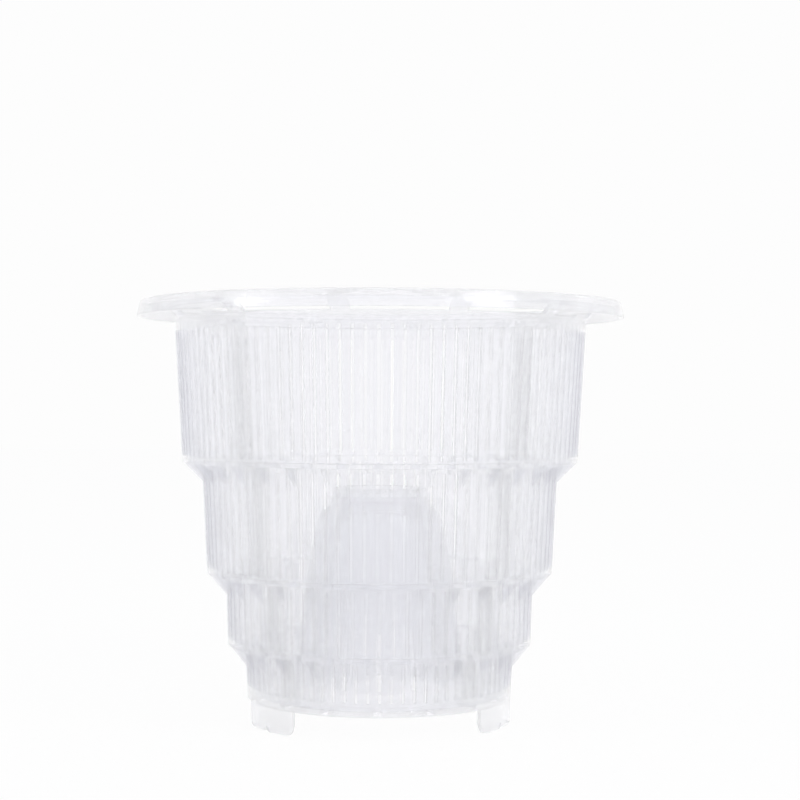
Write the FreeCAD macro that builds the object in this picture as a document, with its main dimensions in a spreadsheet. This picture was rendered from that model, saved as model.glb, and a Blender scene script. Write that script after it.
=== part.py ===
import FreeCAD, Part
import Sketcher
import math
import os

# Net pot for hydroponic growing, moulded in one piece from clear polypropylene.
# The pot narrows downwards in four slotted tiers. Each step between two tiers is a flat ledge
# with drain holes in it and triangular fins below it. A wide brim with a turned-down lip closes
# the top, a hollow air cone rises from the floor, and three feet with two lobes each carry it.
# Origin: the middle of the plane the feet stand on. +Z is the pot's axis, -Y its front.

doc = FreeCAD.newDocument("net_pot")

# ---- driving sizes, in millimetres and degrees ----
SIZES = [
    ("overall_height", 137.2, "feet to the top of the brim"),
    ("brim_radius", 80.0, "lower edge of the lip, the widest place"),
    ("brim_top_radius", 79.1, "upper edge of the lip"),
    ("brim_thickness", 2.0, "plate of the brim"),
    ("brim_round", 0.9, "rounding of the upper outer edge"),
    ("lip_drop", 2.6, "lip below the underside of the brim"),
    ("lip_thickness", 1.5, "lip, measured across"),
    ("wall_thickness", 1.4, "walls, ledges, floor, cone and feet"),
    ("shoulder_height", 131.2, "where the first tier turns out to the brim"),
    ("first_top_radius", 67.7, "first tier at the shoulder"),
    ("first_base_radius", 65.0, "first tier at its ledge"),
    ("first_ledge", 84.6, "underside of the first ledge"),
    ("second_top_radius", 58.6, "second tier below the first ledge"),
    ("second_base_radius", 56.8, "second tier at its ledge"),
    ("second_ledge", 48.3, "underside of the second ledge"),
    ("third_top_radius", 50.6, "third tier below the second ledge"),
    ("third_base_radius", 49.9, "third tier at its ledge"),
    ("third_ledge", 25.0, "underside of the third ledge"),
    ("fourth_top_radius", 44.2, "fourth tier below the third ledge"),
    ("fourth_base_radius", 43.4, "fourth tier at the floor, and the feet"),
    ("floor_height", 7.8, "underside of the floor"),
    ("cone_foot_radius", 31.0, "air cone where it leaves the floor"),
    ("cone_neck_radius", 20.6, "air cone below its cap"),
    ("cone_neck_height", 67.0, "height of that radius"),
    ("cone_cap_radius", 15.6, "flat top of the air cone"),
    ("cone_top_height", 76.3, "top of the air cone"),
    ("slot_width", 1.0, "slots in the four tiers"),
    ("slot_start", 0.05, "where the cut of a slot begins, outside its tier"),
    ("first_slot_turn", 0.0, "a slot of the first tier, from the front"),
    ("second_slot_turn", 0.0, "a slot of the second tier, from the front"),
    ("third_slot_turn", 0.8, "a slot of the third tier, from the front"),
    ("fourth_slot_turn", 0.8, "a slot of the fourth tier, from the front"),
    ("first_slot_count", 108, "slots around the first tier"),
    ("first_slot_low", 86.9, "lower end of those slots"),
    ("first_slot_high", 127.3, "upper end of those slots"),
    ("second_slot_count", 90, "slots around the second tier"),
    ("second_slot_low", 50.6, "lower end of those slots"),
    ("second_slot_high", 83.0, "upper end of those slots"),
    ("third_slot_count", 75, "slots around the third tier"),
    ("third_slot_low", 27.3, "lower end of those slots"),
    ("third_slot_high", 46.8, "upper end of those slots"),
    ("fourth_slot_count", 75, "slots around the fourth tier"),
    ("fourth_slot_low", 11.9, "lower end of those slots"),
    ("fourth_slot_high", 23.4, "upper end of those slots"),
    ("slots_per_fin", 3, "slots of the tier above for each fin"),
    ("first_fin_bars", 1.5, "slots between the front and a fin, first ledge"),
    ("second_fin_bars", 0.5, "slots between the front and a fin, second ledge"),
    ("third_fin_bars", 0.5, "slots between the front and a fin, third ledge"),
    ("fin_thickness", 0.8, "fins below the ledges"),
    ("fin_drop", 7.6, "height of a fin on the wall below its ledge"),
    ("fin_root", 0.6, "how far a fin runs into the wall and the ledge"),
    ("fin_inset", 0.3, "fin inside the outer edge of its ledge"),
    ("drain_width", 2.8, "drain hole, along the ledge"),
    ("drain_reach", 2.2, "drain hole, across the ledge"),
    ("drain_inset", 2.0, "drain hole inside the outer edge of its ledge"),
    ("bridge_count", 12, "bridges that carry the brim"),
    ("bridge_angle", 4.8, "width of a bridge, around the axis"),
    ("bridge_turn", -9.5, "middle of a bridge, from the front"),
    ("gap_low", 131.6, "lower edge of the gaps between the bridges"),
    ("gap_high", 134.5, "upper edge of the gaps between the bridges"),
    ("foot_count", 3, "feet around the pot"),
    ("foot_angle", 34.0, "width of a foot, around the axis"),
    ("foot_turn", 65.0, "middle of a foot, from the front"),
    ("foot_round", 3.0, "rounding of the lower corners of a lobe"),
    ("notch_height", 1.8, "notch between the two lobes of a foot"),
    ("floor_slot_count", 15, "slots around the floor and around the air cone"),
    ("floor_slot_angle", 3.6, "width of those slots, around the axis"),
    ("floor_slot_inner", 33.0, "inner end of the slots in the floor"),
    ("floor_slot_outer", 40.5, "outer end of the slots in the floor"),
    ("cone_slot_low", 13.0, "lower end of the slots in the air cone"),
    ("cone_slot_high", 31.0, "upper end of the slots in the air cone"),
    ("clearance", 1.0, "how far each cutting shape stands off the pot"),
]

sheet = doc.addObject("Spreadsheet::Sheet", "Sizes")
for row, (alias, value, meaning) in enumerate(SIZES, start=1):
    sheet.set("A%d" % row, alias)
    sheet.set("B%d" % row, str(value))
    sheet.set("C%d" % row, meaning)
    sheet.setAlias("B%d" % row, alias)
doc.recompute()

body = doc.addObject("PartDesign::Body", "net_pot")
body.Label = "net_pot"
body.Placement = FreeCAD.Placement()

UPRIGHT = FreeCAD.Vector(0, 1, 0)
FLAT = FreeCAD.Vector(0, 0, 1)


def named(text):
    """An expression in which every size of the sheet is called by its alias."""
    words = []
    for word in text.split(" "):
        core = word.strip("()-")
        known = any(core == alias for alias, value, meaning in SIZES)
        words.append(word.replace(core, "Sizes." + core) if known else word)
    return " ".join(words)


def amount(text):
    """The present value of such an expression."""
    found = sheet.evalExpression(named(text))
    return float(getattr(found, "Value", found))


def origin(owner, role):
    """The origin plane or axis of a body that has this role."""
    found = [item for item in owner.Origin.OriginFeatures if item.Role == role]
    return found[0]


def sketch_on(owner, role, name, turn="0", out=None, axis=UPRIGHT):
    """An empty sketch on an origin plane, turned about the pot's axis and moved outwards."""
    sketch = owner.newObject("Sketcher::SketchObject", name)
    sketch.AttachmentSupport = [(origin(owner, role), "")]
    sketch.MapMode = "FlatFace"
    sketch.AttachmentOffset = FreeCAD.Placement(FreeCAD.Vector(), FreeCAD.Rotation(axis, 1.0))
    sketch.setExpression(".AttachmentOffset.Rotation.Angle", "(%s) * 1 deg" % named(turn))
    if out and axis is UPRIGHT:
        sideways = "(%s) * sin(%s)" % (named(out), named(turn))
        forwards = "(%s) * cos(%s)" % (named(out), named(turn))
        sketch.setExpression(".AttachmentOffset.Base.x", sideways)
        sketch.setExpression(".AttachmentOffset.Base.z", forwards)
    elif out:
        sketch.setExpression(".AttachmentOffset.Base.z", named(out))
    return sketch


def pin(sketch, edge, end, label, across, up):
    """Tie one end of an edge to the sketch's own origin by two expressions."""
    for kind, axis_edge, text, tag in (("DistanceX", -2, across, "x"), ("DistanceY", -1, up, "y")):
        if text == "0":
            sketch.addConstraint(Sketcher.Constraint("PointOnObject", edge, end, axis_edge))
            continue
        constraint = Sketcher.Constraint(kind, -1, 1, edge, end, amount(text))
        number = sketch.addConstraint(constraint)
        sketch.renameConstraint(number, label + "_" + tag)
        sketch.setExpression("Constraints." + label + "_" + tag, named(text))


def loop(sketch, corners):
    """A closed outline. A corner is (label, across, up), and a fourth entry is the radius of an
    arc to the next corner: a leading "-" bends it to the right of the way, none to the left."""
    spots = [FreeCAD.Vector(amount(item[1]), amount(item[2]), 0) for item in corners]
    ends = []
    for number, item in enumerate(corners):
        near = spots[number]
        far = spots[(number + 1) % len(spots)]
        if len(item) == 3:
            edge = sketch.addGeometry(Part.LineSegment(near, far))
            ends.append((edge, 1, 2))
            continue
        right = item[3].startswith("-")
        text = item[3].lstrip("-")
        radius = amount(text)
        chord = far - near
        side = FreeCAD.Vector(chord.y, -chord.x, 0)
        side.normalize()
        reach = math.sqrt(max(radius ** 2 - chord.Length ** 2 / 4, 0.0))
        centre = (near + far) * 0.5 + side * (-reach if right else reach)
        circle = Part.Circle(centre, FreeCAD.Vector(0, 0, 1), radius)
        start = math.atan2(near.y - centre.y, near.x - centre.x)
        stop = math.atan2(far.y - centre.y, far.x - centre.x)
        if right:
            start, stop = stop, start
        edge = sketch.addGeometry(Part.ArcOfCircle(circle, start, stop))
        ends.append((edge, 2, 1) if right else (edge, 1, 2))
        number_of = sketch.addConstraint(Sketcher.Constraint("Radius", edge, radius))
        sketch.renameConstraint(number_of, item[0] + "_r")
        sketch.setExpression("Constraints." + item[0] + "_r", named(text))
    for number, item in enumerate(corners):
        edge, first, last = ends[number]
        before = ends[number - 1]
        pin(sketch, edge, first, item[0], item[1], item[2])
        sketch.addConstraint(Sketcher.Constraint("Coincident", before[0], before[2], edge, first))


def box_loop(sketch, label, left, right, low, high):
    """A closed rectangle."""
    loop(sketch, [
        (label + "_a", left, low),
        (label + "_b", right, low),
        (label + "_c", right, high),
        (label + "_d", left, high),
    ])


def volume(owner):
    """The volume of a body as far as it is made."""
    doc.recompute()
    return owner.Shape.Volume


def add(owner, kind, name, grows, **settings):
    """A feature at the end of a body. It stops where the body doesn't grow or shrink as meant."""
    before = volume(owner) if owner.Tip else 0.0
    feature = owner.newObject("PartDesign::" + kind, name)
    if "Refine" in feature.PropertiesList:
        feature.Refine = False
    for key, value in settings.items():
        if isinstance(value, str) and key in ("Angle", "Length", "Occurrences"):
            feature.setExpression(key, named(value))
        else:
            setattr(feature, key, value)
    owner.Tip = feature
    change = volume(owner) - before
    if change <= 0 if grows else change >= 0:
        raise RuntimeError("%s changed the volume by %.3f" % (name, change))
    return feature


def around(owner, feature, name, count, grows=True):
    """The feature repeated evenly around the pot's axis."""
    axis = (origin(owner, "Z_Axis"), [""])
    return add(owner, "PolarPattern", name, grows, Originals=[feature], Axis=axis, Angle=360,
               Occurrences=count)


def ring_of_cuts(name, section, angle, turn, count):
    """A body of equal sectors around the axis: a rectangle, turned a little to both sides."""
    tool = doc.addObject("PartDesign::Body", name)
    tool.AllowCompound = True
    sketch = sketch_on(tool, "XZ_Plane", name + "Section", turn + " - 90")
    box_loop(sketch, "cut", *section)
    sector = add(tool, "Revolution", name + "Sector", True, Profile=sketch,
                 ReferenceAxis=(sketch, ["V_Axis"]), Midplane=True, Angle=angle)
    around(tool, sector, name + "Ring", count)
    return tool


def join(kind, name, tools):
    """The pot with a number of bodies taken from it, or added to it."""
    before = volume(body)
    step = body.newObject("PartDesign::Boolean", name)
    step.Type = kind
    step.Refine = False
    step.Group = tools
    body.Tip = step
    change = volume(body) - before
    if change >= 0 if kind == "Cut" else change <= 0:
        raise RuntimeError("%s changed the volume by %.3f" % (name, change))
    return step


# ---- the shell: one section turned about the axis ----
shell_sketch = sketch_on(body, "XZ_Plane", "ShellSection")
RISE = "( overall_height - brim_thickness - shoulder_height )"
loop(shell_sketch, [
    ("cap_in", "0", "cone_top_height - wall_thickness"),
    ("axis_top", "0", "cone_top_height"),
    ("cap", "cone_cap_radius", "cone_top_height"),
    ("neck", "cone_neck_radius", "cone_neck_height"),
    ("cone_foot", "cone_foot_radius", "floor_height + wall_thickness"),
    ("floor_top", "fourth_base_radius - wall_thickness", "floor_height + wall_thickness"),
    ("fourth_in", "fourth_top_radius - wall_thickness", "third_ledge + wall_thickness"),
    ("third_floor", "third_base_radius - wall_thickness", "third_ledge + wall_thickness"),
    ("third_in", "third_top_radius - wall_thickness", "second_ledge + wall_thickness"),
    ("second_floor", "second_base_radius - wall_thickness", "second_ledge + wall_thickness"),
    ("second_in", "second_top_radius - wall_thickness", "first_ledge + wall_thickness"),
    ("first_floor", "first_base_radius - wall_thickness", "first_ledge + wall_thickness"),
    ("first_in", "first_top_radius - wall_thickness", "shoulder_height + wall_thickness * 0.414"),
    ("mouth", "first_top_radius + %s + brim_thickness - wall_thickness * 1.414" % RISE,
     "overall_height"),
    ("brim_top", "brim_top_radius - brim_round", "overall_height"),
    ("brim_edge", "brim_top_radius", "overall_height - brim_round"),
    ("lip_out", "brim_radius", "overall_height - brim_thickness - lip_drop"),
    ("lip_in", "brim_radius - lip_thickness", "overall_height - brim_thickness - lip_drop"),
    ("brim_under", "brim_top_radius - lip_thickness", "overall_height - brim_thickness"),
    ("shoulder_top", "first_top_radius + %s" % RISE, "overall_height - brim_thickness"),
    ("shoulder", "first_top_radius", "shoulder_height"),
    ("first_edge", "first_base_radius", "first_ledge"),
    ("second_top", "second_top_radius", "first_ledge"),
    ("second_edge", "second_base_radius", "second_ledge"),
    ("third_top", "third_top_radius", "second_ledge"),
    ("third_edge", "third_base_radius", "third_ledge"),
    ("fourth_top", "fourth_top_radius", "third_ledge"),
    ("fourth_edge", "fourth_base_radius", "floor_height"),
    ("foot_out", "fourth_base_radius", "0"),
    ("foot_in", "fourth_base_radius - wall_thickness", "0"),
    ("foot_root", "fourth_base_radius - wall_thickness", "floor_height"),
    ("cone_inside", "cone_foot_radius - wall_thickness", "floor_height"),
    ("neck_in", "cone_neck_radius - wall_thickness", "cone_neck_height - wall_thickness / 2"),
    ("cap_edge_in", "cone_cap_radius - wall_thickness * 0.6",
     "cone_top_height - wall_thickness"),
])
add(body, "Revolution", "Shell", True, Profile=shell_sketch,
    ReferenceAxis=(shell_sketch, ["V_Axis"]), Angle=360)

# ---- three feet: the skirt below the floor, cut away between them and rounded into lobes ----
foot_gap_sketch = sketch_on(body, "XZ_Plane", "FootGapSection",
                            "foot_turn - 90 + 180 / foot_count")
box_loop(foot_gap_sketch, "gap", "fourth_base_radius - wall_thickness - clearance",
         "fourth_base_radius + clearance", "-clearance", "floor_height")
foot_gap = add(body, "Groove", "FootGap", False, Profile=foot_gap_sketch,
               ReferenceAxis=(foot_gap_sketch, ["V_Axis"]), Midplane=True,
               Angle="360 / foot_count - foot_angle")
around(body, foot_gap, "FootGaps", "foot_count", False)

HALF = "fourth_base_radius * sin( foot_angle / 2 )"
NOTCH = "sqrt( 2 * foot_round * notch_height - notch_height ^ 2 )"
lobe_sketch = sketch_on(body, "XZ_Plane", "LobeOutline", "foot_turn",
                        "fourth_base_radius + clearance")
loop(lobe_sketch, [
    ("right_a", HALF + " - foot_round", "-clearance"),
    ("right_b", HALF + " + clearance", "-clearance"),
    ("right_c", HALF + " + clearance", "foot_round"),
    ("right_d", HALF, "foot_round", "-foot_round"),
    ("right_e", HALF + " - foot_round", "0"),
])
loop(lobe_sketch, [
    ("left_a", "-( %s + clearance )" % HALF, "-clearance"),
    ("left_b", "-( %s - foot_round )" % HALF, "-clearance"),
    ("left_c", "-( %s - foot_round )" % HALF, "0", "-foot_round"),
    ("left_d", "-( %s )" % HALF, "foot_round"),
    ("left_e", "-( %s + clearance )" % HALF, "foot_round"),
])
loop(lobe_sketch, [
    ("notch_a", "-%s" % NOTCH, "-clearance"),
    ("notch_b", NOTCH, "-clearance"),
    ("notch_c", NOTCH, "0", "-foot_round"),
    ("notch_d", "0", "notch_height", "-foot_round"),
    ("notch_e", "-%s" % NOTCH, "0"),
])
lobe = add(body, "Pocket", "Lobe", False, Profile=lobe_sketch, Type="Length",
           Length="wall_thickness + clearance + foot_round")
around(body, lobe, "Lobes", "foot_count", False)

# ---- the fins below the ledges ----
fins = []
for tier, below in (("first", "second"), ("second", "third"), ("third", "fourth")):
    name = tier.title() + "Fins"
    fin_body = doc.addObject("PartDesign::Body", name)
    fin_body.AllowCompound = True
    turn = "%s_slot_turn + %s_fin_bars * 360 / %s_slot_count - 90" % (tier, tier, tier)
    fin_sketch = sketch_on(fin_body, "XZ_Plane", name + "Outline", turn)
    outer = "%s_base_radius - fin_inset" % tier
    inner = "%s_top_radius - fin_root" % below
    loop(fin_sketch, [
        ("inner_low", inner, "%s_ledge - fin_drop" % tier),
        ("outer_low", outer, "%s_ledge" % tier),
        ("outer_high", outer, "%s_ledge + fin_root" % tier),
        ("inner_high", inner, "%s_ledge + fin_root" % tier),
    ])
    fin = add(fin_body, "Pad", name + "One", True, Profile=fin_sketch, SideType="Symmetric",
              Length="fin_thickness")
    around(fin_body, fin, name + "Ring", "%s_slot_count / slots_per_fin" % tier)
    fins.append(fin_body)
join("Fuse", "WithFins", fins)

# ---- the openings: the gaps between the bridges that carry the brim, the slots of the tiers,
# the drain holes in the ledges, each in line with a slot, and the slots of floor and cone ----
cuts = [
    ring_of_cuts("BridgeGaps",
                 ("first_top_radius - wall_thickness - clearance",
                  "first_top_radius + %s + clearance" % RISE, "gap_low", "gap_high"),
                 "360 / bridge_count - bridge_angle",
                 "bridge_turn + 180 / bridge_count", "bridge_count"),
    ring_of_cuts("FloorSlots",
                 ("floor_slot_inner", "floor_slot_outer", "floor_height - clearance",
                  "floor_height + wall_thickness + clearance"),
                 "floor_slot_angle", "0", "floor_slot_count"),
    ring_of_cuts("ConeSlots",
                 ("cone_neck_radius", "cone_foot_radius + clearance",
                  "cone_slot_low", "cone_slot_high"),
                 "floor_slot_angle", "0", "floor_slot_count"),
]
for tier in ("first", "second", "third", "fourth"):
    cuts.append(ring_of_cuts(
        tier.title() + "Slots",
        ("%s_base_radius - wall_thickness - clearance / 2" % tier,
         "%s_top_radius + slot_start" % tier, tier + "_slot_low", tier + "_slot_high"),
        "slot_width / %s_top_radius * 180 / pi" % tier,
        tier + "_slot_turn", tier + "_slot_count"))
for tier in ("first", "second", "third"):
    edge = "%s_base_radius - drain_inset" % tier
    turn = "%s_slot_turn + ( %s_fin_bars - slots_per_fin / 2 ) * 360 / %s_slot_count"
    cuts.append(ring_of_cuts(
        tier.title() + "Drains",
        (edge + " - drain_reach", edge, tier + "_ledge - clearance",
         tier + "_ledge + wall_thickness + clearance / 2"),
        "drain_width / ( %s ) * 180 / pi" % edge, turn % (tier, tier, tier),
        "%s_slot_count / slots_per_fin" % tier))
join("Cut", "WithOpenings", cuts)

# ---- checks, then the part's own file ----
doc.recompute()
for item in doc.Objects:
    if "Invalid" in item.State or "Error" in item.State:
        raise RuntimeError("%s failed: %s" % (item.Name, item.State))
shape = body.Shape
if shape.isNull() or not shape.isValid() or len(shape.Solids) != 1:
    raise RuntimeError("the pot isn't one valid solid")
os.makedirs("parts", exist_ok=True)
shape.exportStep("parts/net_pot.step")
box = shape.BoundBox
print("net_pot: %.2f x %.2f x %.2f mm, volume %.0f mm3, %d faces"
      % (box.XLength, box.YLength, box.ZLength, shape.Volume, len(shape.Faces)))
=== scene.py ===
"""A clear net pot for hydroponic growing, moulded in one piece, standing on a white floor."""

import math

import bmesh
import bpy
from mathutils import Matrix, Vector


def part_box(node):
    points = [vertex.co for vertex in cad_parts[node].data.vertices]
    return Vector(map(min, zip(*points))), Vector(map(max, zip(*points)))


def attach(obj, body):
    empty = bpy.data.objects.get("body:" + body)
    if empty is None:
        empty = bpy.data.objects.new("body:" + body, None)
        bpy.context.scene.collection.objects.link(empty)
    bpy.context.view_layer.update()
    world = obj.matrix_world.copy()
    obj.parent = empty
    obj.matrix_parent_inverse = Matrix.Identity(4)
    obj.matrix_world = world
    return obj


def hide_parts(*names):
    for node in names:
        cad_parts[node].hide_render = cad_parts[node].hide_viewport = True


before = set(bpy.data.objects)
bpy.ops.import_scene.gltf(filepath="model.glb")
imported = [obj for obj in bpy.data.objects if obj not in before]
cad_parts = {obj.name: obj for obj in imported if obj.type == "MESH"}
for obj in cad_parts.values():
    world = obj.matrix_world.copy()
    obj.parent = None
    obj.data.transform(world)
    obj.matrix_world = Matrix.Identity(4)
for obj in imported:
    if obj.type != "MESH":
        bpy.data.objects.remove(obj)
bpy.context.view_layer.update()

MM = 0.001
top_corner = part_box("net_pot")[1]

# ---- driving sizes of the pot, in millimetres and degrees ----
HEIGHT = top_corner.z / MM
BRIM_RADIUS = top_corner.x / MM
WALL = 1.4
BRIM_THICKNESS = 2.0
BRIM_TOP_INSET = 1.1
LIP_DROP = 3.3
LIP_THICKNESS = 1.5
SHOULDER_RISE = 4.2
SHOULDER_RUN = 3.8
FLOOR_UNDERSIDE = 7.8
BRIM_UNDERSIDE = HEIGHT - BRIM_THICKNESS
SHOULDER_HEIGHT = BRIM_UNDERSIDE - SHOULDER_RISE
LIP_BOTTOM = BRIM_UNDERSIDE - LIP_DROP

# Each tier: its radius at the top and at the base, and the underside of its ledge; how many
# slots stand around it, their lower and upper end and their turn; and for the fins below its
# ledge, their place counted in slots and their height on the wall.
FIRST = dict(
    top=67.7, base=65.0, ledge=84.6,
    slots=108, low=86.9, high=127.3, turn=0.2,
    fin=1.5, drop=6.7,
)
SECOND = dict(
    top=58.6, base=56.8, ledge=48.3,
    slots=90, low=50.6, high=83.0, turn=0.0,
    fin=0.5, drop=7.6,
)
THIRD = dict(
    top=50.6, base=49.9, ledge=25.0,
    slots=75, low=27.3, high=46.8, turn=0.8,
    fin=0.5, drop=7.6,
)
FOURTH = dict(
    top=44.2, base=43.4, ledge=FLOOR_UNDERSIDE,
    slots=75, low=11.9, high=23.4, turn=0.8,
)
TIERS = (FIRST, SECOND, THIRD, FOURTH)
LEDGES = tuple(zip(TIERS, TIERS[1:]))

SLOT_WIDTH = 1.0
SLOT_END = 0.9  # rounding of a slot's end, as a share of half its width
SLOTS_PER_FIN = 3
FIN_THICKNESS = 1.0
FIN_ROOT = 0.6
FIN_INSET = 0.3
DRAIN_WIDTH = 2.8
DRAIN_REACH = 2.2
DRAIN_INSET = 2.0

BRIDGES = 12
BRIDGE_ANGLE = 4.8
BRIDGE_TURN = -9.5
GAP_LOW = 131.7
GAP_HIGH = 134.5

FEET = 3
FOOT_ANGLE = 34.0
FOOT_TURN = 65.0
FOOT_ROUND = 3.0
FOOT_NOTCH = 1.8

# The air cone's outside, as (radius, height), from the floor to its cap.
CONE_FOOT = (28.5, FLOOR_UNDERSIDE + WALL)
CONE_WAIST = (24.3, 46.0)
CONE_NECK = (20.7, 65.5)
CONE_STEP = (19.5, 68.2)
CAP_BASE = (16.4, 70.4)
CAP_TOP = (15.6, 76.3)
FLOOR_SLOTS = 15
FLOOR_SLOT_ANGLE = 3.6
FLOOR_SLOT_REACH = (33.0, 40.5)
CONE_SLOT_REACH = (13.0, 31.0)

# Roundings of the section's corners, in millimetres.
SHARP = 0.0
SOFT = 0.35
LIP_ROOT_BEND = 0.4
UNDERSIDE_BEND = 0.5
LEDGE_BEND = 0.6
LEDGE_BEND_INSIDE = 0.8
CONE_BEND_BELOW = 0.8
BRIM_BEND_INSIDE = 0.8
BRIM_EDGE = 1.1
SHOULDER_BEND = 1.0
CAP_EDGE = 1.0
CAP_EDGE_INSIDE = 0.6
CAP_FOOT_BEND = 0.6
CONE_STEP_EDGE = 1.0
CONE_NECK_BEND = 1.5
CONE_FOOT_BEND = 1.2

# How finely the forms are made, and how far a cut reaches past what it cuts.
STEPS = 360
HOLE_STEPS = 4
GAP_STEPS = 24
FOOT_GAP_STEPS = 86
ARC_STEPS = 6
CORNER_STEPS = 4
CORNER_SHARE = 0.45
CORNER_LEAST = 0.02
NEARLY_STRAIGHT = 0.01
SHARP_ANGLE = 35
SAME_PLACE = 0.001
CLEAR = 1.0


# ---- shapes ----
def place(radius, angle, height):
    """A point around the pot's axis: angle 0 is the front, in degrees, lengths in millimetres."""
    turn = math.radians(angle)
    return Vector((radius * math.sin(turn), -radius * math.cos(turn), height)) * MM


def rounded(corners):
    """A closed outline of (across, up, rounding) corners, each bent into a short arc."""
    outline = []
    for number, (across, up, rounding) in enumerate(corners):
        here = Vector((across, up))
        before = Vector(corners[number - 1][:2]) - here
        after = Vector(corners[(number + 1) % len(corners)][:2]) - here
        half = before.angle(after) / 2
        straight = abs(half - math.pi / 2) < NEARLY_STRAIGHT
        reach = min(
            rounding / math.tan(half), before.length * CORNER_SHARE, after.length * CORNER_SHARE
        )
        if rounding <= 0 or reach < CORNER_LEAST or straight:
            outline.append(tuple(here))
            continue
        start = here + before.normalized() * reach
        stop = here + after.normalized() * reach
        for step in range(CORNER_STEPS + 1):
            part = step / CORNER_STEPS
            outline.append(tuple(start.lerp(here, part).lerp(here.lerp(stop, part), part)))
    return outline


def box_outline(left, right, low, high):
    """A closed rectangle."""
    return [(left, low), (right, low), (right, high), (left, high)]


def piece(name, mesh):
    """A new object of the scene for this mesh."""
    made = bpy.data.objects.new(name, mesh)
    bpy.context.scene.collection.objects.link(made)
    return made


def closed_piece(name, shape):
    """The object of a bmesh whose doubles are merged and whose faces point outwards."""
    bmesh.ops.remove_doubles(shape, verts=shape.verts, dist=SAME_PLACE * MM)
    bmesh.ops.recalc_face_normals(shape, faces=shape.faces)
    mesh = bpy.data.meshes.new(name)
    shape.to_mesh(mesh)
    shape.free()
    return piece(name, mesh)


def turned(name, outline, angle=360.0, steps=STEPS):
    """A closed outline of (radius, height) turned about the axis: whole, or as a sector with
    its middle at the front. Nothing is turned from an edge that lies on the axis."""
    shape = bmesh.new()
    whole = angle >= 360.0
    rim = [shape.verts.new(place(radius, -angle / 2, up)) for radius, up in outline]
    edges = [
        shape.edges.new((rim[i - 1], rim[i]))
        for i in range(len(rim))
        if not (whole and outline[i - 1][0] == 0 and outline[i][0] == 0)
    ]
    caps = [] if whole else [shape.faces.new(rim)]
    bmesh.ops.spin(
        shape, geom=rim + edges + caps, axis=(0, 0, 1), cent=(0, 0, 0),
        angle=math.radians(angle), steps=steps, use_merge=whole,
    )
    return closed_piece(name, shape)


def between(name, first, second):
    """A closed piece between two outlines with the same number of points."""
    shape = bmesh.new()
    rings = [[shape.verts.new(point) for point in outline] for outline in (first, second)]
    shape.faces.new(rings[0])
    shape.faces.new(rings[1])
    for i in range(len(first)):
        shape.faces.new((rings[0][i - 1], rings[0][i], rings[1][i], rings[1][i - 1]))
    return closed_piece(name, shape)


def radial(name, outline, inner, outer):
    """A closed outline of (millimetres along the outer radius, height), with radial sides."""
    sides = (
        [place(radius, math.degrees(along / outer), up) for along, up in outline]
        for radius in (inner, outer)
    )
    return between(name, *sides)


def upright(name, outline, thickness):
    """An outline of (radius, height) in the plane through the front, with an even thickness."""
    half = Vector((thickness / 2 * MM, 0, 0))
    sides = ([place(radius, 0, up) + half * way for radius, up in outline] for way in (-1, 1))
    return between(name, *sides)


# ---- what repeats around the axis ----
def add(tree, kind, links=(), values=None, **settings):
    """One node with its settings, the values of its sockets, and its links, each written as
    (own input, other node, other output)."""
    made = tree.nodes.new(kind)
    for key, value in settings.items():
        setattr(made, key, value)
    for socket, value in (values or {}).items():
        made.inputs[socket].default_value = value
    for own, other, output in links:
        tree.links.new(other.outputs[output], made.inputs[own])
    return made


def ring_tree():
    """Copies of a piece around the pot's axis, as one plain mesh with one material."""
    tree = bpy.data.node_groups.new("ring around the pot", "GeometryNodeTree")
    wanted = (("Piece", "Geometry"), ("Count", "Int"), ("Turn", "Float"), ("Plastic", "Material"))
    for name, kind in wanted:
        tree.interface.new_socket(name=name, in_out="INPUT", socket_type="NodeSocket" + kind)
    tree.interface.new_socket(name="Ring", in_out="OUTPUT", socket_type="NodeSocketGeometry")
    given = add(tree, "NodeGroupInput")
    line = add(
        tree, "GeometryNodeMeshLine", [("Count", given, "Count")], {"Offset": (0, 0, 0)}
    )
    index = add(tree, "GeometryNodeInputIndex")
    step = add(
        tree, "ShaderNodeMath", [(1, given, "Count")], {0: math.tau}, operation="DIVIDE"
    )
    turn = add(
        tree, "ShaderNodeMath", [(0, index, 0), (1, step, 0), (2, given, "Turn")],
        operation="MULTIPLY_ADD",
    )
    about = add(tree, "ShaderNodeCombineXYZ", [("Z", turn, 0)])
    copies = add(
        tree, "GeometryNodeInstanceOnPoints",
        [("Points", line, 0), ("Instance", given, "Piece"), ("Rotation", about, 0)],
    )
    real = add(tree, "GeometryNodeRealizeInstances", [(0, copies, 0)])
    dressed = add(
        tree, "GeometryNodeSetMaterial", [("Geometry", real, 0), ("Material", given, "Plastic")]
    )
    add(tree, "NodeGroupOutput", [(0, dressed, 0)])
    return tree


def plain_mesh(made):
    """The object's mesh with its modifiers made real and taken off."""
    graph = bpy.context.evaluated_depsgraph_get()
    mesh = bpy.data.meshes.new_from_object(made.evaluated_get(graph), depsgraph=graph)
    made.modifiers.clear()
    made.data = mesh
    return made


def ring(made, count, turn):
    """The piece repeated around the pot's axis."""
    step = made.modifiers.new("ring", "NODES")
    step.node_group = RING
    values = {"Count": count, "Turn": math.radians(turn), "Plastic": POLYPROPYLENE}
    for socket in RING.interface.items_tree:
        if socket.in_out == "INPUT" and socket.name in values:
            step[socket.identifier] = values[socket.name]
    return plain_mesh(made)


def sectors(name, outline, angle, steps, count, turn):
    """Equal sectors around the pot's axis, turned from one outline."""
    return ring(turned(name, outline, angle, steps), count, turn)


def joined(name, parts):
    """Several pieces as one."""
    shape = bmesh.new()
    for part in parts:
        shape.from_mesh(part.data)
        bpy.data.objects.remove(part)
    mesh = bpy.data.meshes.new(name)
    shape.to_mesh(mesh)
    shape.free()
    return piece(name, mesh)


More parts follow.
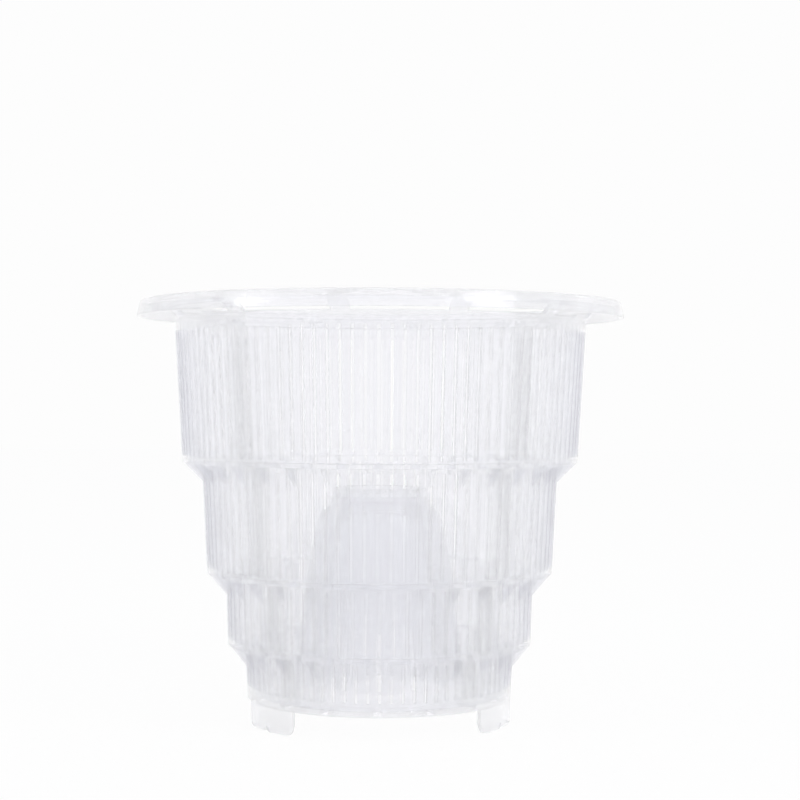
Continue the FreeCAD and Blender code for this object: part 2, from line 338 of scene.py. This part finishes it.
def combine(made, tool, operation):
    """Adds another piece to the pot, or takes it away."""
    step = made.modifiers.new(operation.lower(), "BOOLEAN")
    step.object = tool
    step.operation = operation
    step.solver = "MANIFOLD"
    plain_mesh(made)
    bpy.data.objects.remove(tool)


# ---- finish ----
def linear(code):
    """A colour written as sRGB hex, as the renderer's linear colour."""
    channels = [int(code[i:i + 2], 16) / 255 for i in (1, 3, 5)]
    return [c / 12.92 if c <= 0.04045 else ((c + 0.055) / 1.055) ** 2.4 for c in channels] + [1.0]


def shader_tree(owner):
    """The node tree of a material or a world, emptied."""
    owner.use_nodes = True
    owner.node_tree.nodes.clear()
    return owner.node_tree


def moulded_polypropylene():
    """Clear moulded polypropylene: see-through with a faint lavender cast, a soft milky veil,
    a glossy skin, and the very slight unevenness that the mould leaves on it."""
    made = bpy.data.materials.new("clear moulded polypropylene")
    tree = shader_tree(made)
    where = add(tree, "ShaderNodeTexCoord")
    # broad patches where the melt flowed, a little more or less glossy
    flow = add(
        tree, "ShaderNodeTexNoise", [("Vector", where, "Object")],
        {"Scale": 1 / (18 * MM), "Detail": 3.0},
    )
    uneven = add(tree, "ShaderNodeMapRange", [(0, flow, 0)], {"To Min": 0.04, "To Max": 0.08})
    # a shallow ripple of the skin, which breaks up the reflections
    skin = add(
        tree, "ShaderNodeTexNoise", [("Vector", where, "Object")],
        {"Scale": 1 / (2.5 * MM), "Detail": 2.0},
    )
    relief = add(
        tree, "ShaderNodeBump", [("Height", skin, 0)], {"Strength": 0.05, "Distance": 0.05 * MM}
    )
    # a quarter of the light is scattered, which is the milky veil; less than full alpha lets
    # part of it straight through, so that the rear wall stays clear to see
    plastic = add(
        tree, "ShaderNodeBsdfPrincipled", [("Roughness", uneven, 0), ("Normal", relief, 0)],
        {
            "Base Color": linear("#FBFBFF"),
            "IOR": 1.49,
            "Transmission Weight": 0.75,
            "Alpha": 0.45,
        },
    )
    add(tree, "ShaderNodeOutputMaterial", [("Surface", plastic, 0)])
    return made


RING = ring_tree()
POLYPROPYLENE = moulded_polypropylene()


# ---- the pot ----
def pot_section():
    """The pot's section: from the axis over the cap and down the cone, up the tiers inside, out
    over the brim, down outside to the feet, and back below the floor and inside the cone."""
    inner_run = WALL * (math.sqrt(2) - 1)
    shoulder_out = FIRST["top"] + SHOULDER_RUN
    corners = [
        (0, CAP_TOP[1] - WALL, SHARP),
        (0, CAP_TOP[1], SHARP),
        (*CAP_TOP, CAP_EDGE),
        (*CAP_BASE, CAP_FOOT_BEND),
        (*CONE_STEP, CONE_STEP_EDGE),
        (*CONE_NECK, CONE_NECK_BEND),
        (*CONE_WAIST, SHARP),
        (*CONE_FOOT, CONE_FOOT_BEND),
    ]
    for above, tier in reversed(LEDGES):
        corners.append((tier["base"] - WALL, tier["ledge"] + WALL, LEDGE_BEND_INSIDE))
        corners.append((tier["top"] - WALL, above["ledge"] + WALL, SOFT))
    corners += [
        (FIRST["base"] - WALL, FIRST["ledge"] + WALL, LEDGE_BEND_INSIDE),
        (FIRST["top"] - WALL, SHOULDER_HEIGHT + inner_run, SHOULDER_BEND),
        (shoulder_out + BRIM_THICKNESS - WALL * math.sqrt(2), HEIGHT, BRIM_BEND_INSIDE),
        (BRIM_RADIUS - BRIM_TOP_INSET, HEIGHT, BRIM_EDGE),
        (BRIM_RADIUS, LIP_BOTTOM, SOFT),
        (BRIM_RADIUS - LIP_THICKNESS, LIP_BOTTOM, SOFT),
        (BRIM_RADIUS - BRIM_TOP_INSET - LIP_THICKNESS, BRIM_UNDERSIDE, LIP_ROOT_BEND),
        (shoulder_out, BRIM_UNDERSIDE, UNDERSIDE_BEND),
        (FIRST["top"], SHOULDER_HEIGHT, SHOULDER_BEND),
    ]
    for tier, below in LEDGES:
        corners.append((tier["base"], tier["ledge"], LEDGE_BEND))
        corners.append((below["top"], tier["ledge"], SOFT))
    corners += [
        (FOURTH["base"], FLOOR_UNDERSIDE, SHARP),
        (FOURTH["base"], 0, SOFT),
        (FOURTH["base"] - WALL, 0, SOFT),
        (FOURTH["base"] - WALL, FLOOR_UNDERSIDE, UNDERSIDE_BEND),
        (CONE_FOOT[0] - WALL, FLOOR_UNDERSIDE, CONE_BEND_BELOW),
        (CONE_WAIST[0] - WALL, CONE_WAIST[1], SHARP),
        (CONE_NECK[0] - WALL, CONE_NECK[1] - WALL / 2, SHARP),
        (CONE_STEP[0] - WALL, CONE_STEP[1] - WALL / 2, SHARP),
        (CAP_BASE[0] - WALL, CAP_BASE[1] - WALL / 2, SHARP),
        (CAP_TOP[0] - WALL, CAP_TOP[1] - WALL, CAP_EDGE_INSIDE),
    ]
    return rounded(corners)


def slot_outline(low, high):
    """An upright slot with rounded ends."""
    half = SLOT_WIDTH / 2
    corners = box_outline(-half, half, low, high)
    return rounded([(across, up, half * SLOT_END) for across, up in corners])


def arc(full):
    """Even steps of an angle."""
    return [full * i / ARC_STEPS for i in range(ARC_STEPS + 1)]


def foot_outline():
    """What is taken from the skirt below the two lobes of a foot: one half and its mirror."""
    half = FOURTH["base"] * math.radians(FOOT_ANGLE / 2)
    notch = math.sqrt(2 * FOOT_ROUND * FOOT_NOTCH - FOOT_NOTCH**2)
    side = [(half + CLEAR, FOOT_ROUND)]
    side += [
        (half - FOOT_ROUND * (1 - math.cos(a)), FOOT_ROUND * (1 - math.sin(a)))
        for a in arc(math.pi / 2)
    ]
    side += [
        (notch - FOOT_ROUND * math.sin(a), FOOT_ROUND * (1 - math.cos(a)))
        for a in arc(math.asin(notch / FOOT_ROUND))
    ]
    mirror = [(-across, up) for across, up in reversed(side[:-1])]
    return [(-half - CLEAR, -CLEAR), (half + CLEAR, -CLEAR)] + side + mirror


def fins():
    """Triangular fins below each ledge, one for every few slots of the tier above."""
    made = []
    for tier, below in LEDGES:
        inner = below["top"] - FIN_ROOT
        outer = tier["base"] - FIN_INSET
        root = tier["ledge"] + FIN_ROOT
        outline = [
            (inner, tier["ledge"] - tier["drop"]), (outer, tier["ledge"]),
            (outer, root), (inner, root),
        ]
        turn = tier["turn"] + tier["fin"] * 360 / tier["slots"]
        fin = upright("fin", outline, FIN_THICKNESS)
        made.append(ring(fin, tier["slots"] // SLOTS_PER_FIN, turn))
    return joined("fins", made)


def openings():
    """The slots of the tiers, the drain holes in the ledges, the gaps below the brim and
    between the feet, and the slots in the floor and in the foot of the cone."""
    cuts = []
    for tier in TIERS:
        slot = radial(
            "slot", slot_outline(tier["low"], tier["high"]),
            tier["base"] - WALL - CLEAR / 2, tier["top"] + CLEAR / 2,
        )
        cuts.append(ring(slot, tier["slots"], tier["turn"]))
    for tier, _ in LEDGES:
        outer = tier["base"] - DRAIN_INSET
        outline = box_outline(
            outer - DRAIN_REACH, outer, tier["ledge"] - CLEAR, tier["ledge"] + WALL + CLEAR / 2
        )
        turn = tier["turn"] + (tier["fin"] - SLOTS_PER_FIN / 2) * 360 / tier["slots"]
        cuts.append(sectors(
            "drain", outline, math.degrees(DRAIN_WIDTH / outer), HOLE_STEPS,
            tier["slots"] // SLOTS_PER_FIN, turn,
        ))
    shoulder = box_outline(
        FIRST["top"] - WALL - CLEAR, FIRST["top"] + SHOULDER_RUN + CLEAR, GAP_LOW, GAP_HIGH
    )
    skirt = box_outline(
        FOURTH["base"] - WALL - CLEAR, FOURTH["base"] + CLEAR, -CLEAR, FLOOR_UNDERSIDE
    )
    floor = box_outline(
        *FLOOR_SLOT_REACH, FLOOR_UNDERSIDE - CLEAR, FLOOR_UNDERSIDE + WALL + CLEAR
    )
    cone = box_outline(
        CONE_WAIST[0] - WALL - CLEAR, CONE_FOOT[0] + CLEAR, *CONE_SLOT_REACH
    )
    cuts += [
        sectors("bridge gap", shoulder, 360 / BRIDGES - BRIDGE_ANGLE, GAP_STEPS,
                BRIDGES, BRIDGE_TURN + 180 / BRIDGES),
        sectors("foot gap", skirt, 360 / FEET - FOOT_ANGLE, FOOT_GAP_STEPS,
                FEET, FOOT_TURN + 180 / FEET),
        sectors("floor slot", floor, FLOOR_SLOT_ANGLE, HOLE_STEPS, FLOOR_SLOTS, 0),
        sectors("cone slot", cone, FLOOR_SLOT_ANGLE, HOLE_STEPS, FLOOR_SLOTS, 0),
    ]
    return joined("openings", cuts)


def lobe_cuts():
    """What rounds the skirt between the gaps into the two lobes of each foot."""
    cut = radial("lobes", foot_outline(), FOURTH["base"] - WALL - CLEAR, FOURTH["base"] + CLEAR)
    return ring(cut, FEET, FOOT_TURN)


def build_pot():
    """The turned shell with its fins, its openings and its feet."""
    made = turned("clear_pot", pot_section())
    combine(made, fins(), "UNION")
    combine(made, openings(), "DIFFERENCE")
    combine(made, lobe_cuts(), "DIFFERENCE")
    mesh = made.data
    mesh.materials.clear()
    mesh.materials.append(POLYPROPYLENE)
    mesh.polygons.foreach_set("use_smooth", [True] * len(mesh.polygons))
    mesh.set_sharp_from_angle(angle=math.radians(SHARP_ANGLE))
    return made


pot = build_pot()
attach(pot, "root")
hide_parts("net_pot")

# ---- floor, light and camera: lengths in metres, power in watts ----
FLOOR_REACH = 3.0
FLOOR_WHITE_SHARE = 0.95  # of what is seen of the floor; the rest keeps the pot's shadow
ROOM_STRENGTH = 0.7
LAMP_SIZE = 0.6
LAMP_AIM = Vector((0, 0, 0.07))
LAMPS = (
    ("right lamp", (0.9, -0.7, 0.9), 6.5),
    ("left lamp", (-1.0, -0.5, 0.8), 3.0),
)
CAMERA_SPOT = (0.00646, -0.563, 0.1051)
CAMERA_LENS = 76.5
CAMERA_SENSOR = 36.0
CAMERA_TILT = 90
CAMERA_ROLL = -0.25
CAMERA_NEAR = 0.01


def seen_ray(tree):
    """1 where the camera, a reflection or the clear plastic looks, and 0 for the other rays."""
    path = add(tree, "ShaderNodeLightPath")
    direct = add(
        tree, "ShaderNodeMath", [(0, path, "Is Camera Ray"), (1, path, "Is Glossy Ray")],
        operation="MAXIMUM",
    )
    return add(
        tree, "ShaderNodeMath", [(0, direct, 0), (1, path, "Is Transmission Ray")],
        operation="MAXIMUM",
    )


def white_floor():
    """A floor of white card: almost plain white to look at, with the pot's soft shadow on it."""
    mesh = bpy.data.meshes.new("floor")
    reach = FLOOR_REACH
    mesh.from_pydata(
        [(-reach, -reach, 0), (reach, -reach, 0), (reach, reach, 0), (-reach, reach, 0)],
        [], [(0, 1, 2, 3)],
    )
    floor = piece("floor", mesh)
    made = bpy.data.materials.new("white card")
    tree = shader_tree(made)
    seen = seen_ray(tree)
    white = add(tree, "ShaderNodeEmission", (), {"Color": linear("#FFFFFF"), "Strength": 1.0})
    card = add(tree, "ShaderNodeBsdfDiffuse", (), {"Color": linear("#F4F4F4")})
    share = add(
        tree, "ShaderNodeMath", [(0, seen, 0)], {1: FLOOR_WHITE_SHARE}, operation="MULTIPLY"
    )
    mixed = add(tree, "ShaderNodeMixShader", [(0, share, 0), (1, card, 0), (2, white, 0)])
    add(tree, "ShaderNodeOutputMaterial", [("Surface", mixed, 0)])
    mesh.materials.append(made)


def surroundings():
    """A pale room that lights the pot from all sides, and is plain white to look at."""
    world = bpy.data.worlds.new("white room")
    bpy.context.scene.world = world
    tree = shader_tree(world)
    seen = seen_ray(tree)
    white = add(
        tree, "ShaderNodeBackground", (), {"Color": linear("#FDFDFD"), "Strength": 1.0}
    )
    room = add(
        tree, "ShaderNodeBackground", (),
        {"Color": linear("#F2F4F8"), "Strength": ROOM_STRENGTH},
    )
    mixed = add(tree, "ShaderNodeMixShader", [(0, seen, 0), (1, room, 0), (2, white, 0)])
    add(tree, "ShaderNodeOutputWorld", [("Surface", mixed, 0)])


def lamp(name, spot, power):
    """A square soft lamp that looks at the middle of the pot."""
    data = bpy.data.lights.new(name, "AREA")
    data.size = LAMP_SIZE
    data.energy = power
    made = piece(name, data)
    made.location = spot
    made.rotation_euler = (LAMP_AIM - Vector(spot)).to_track_quat("-Z", "Y").to_euler()


def camera():
    """The camera in front of the pot, level, with a slight roll."""
    data = bpy.data.cameras.new("camera")
    data.sensor_width = CAMERA_SENSOR
    data.lens = CAMERA_LENS
    data.clip_start = CAMERA_NEAR
    made = piece("camera", data)
    made.location = CAMERA_SPOT
    made.rotation_euler = (math.radians(CAMERA_TILT), math.radians(CAMERA_ROLL), 0)
    bpy.context.scene.camera = made


white_floor()
surroundings()
for name, spot, power in LAMPS:
    lamp(name, spot, power)
camera()
bpy.context.scene.view_settings.view_transform = "Standard"
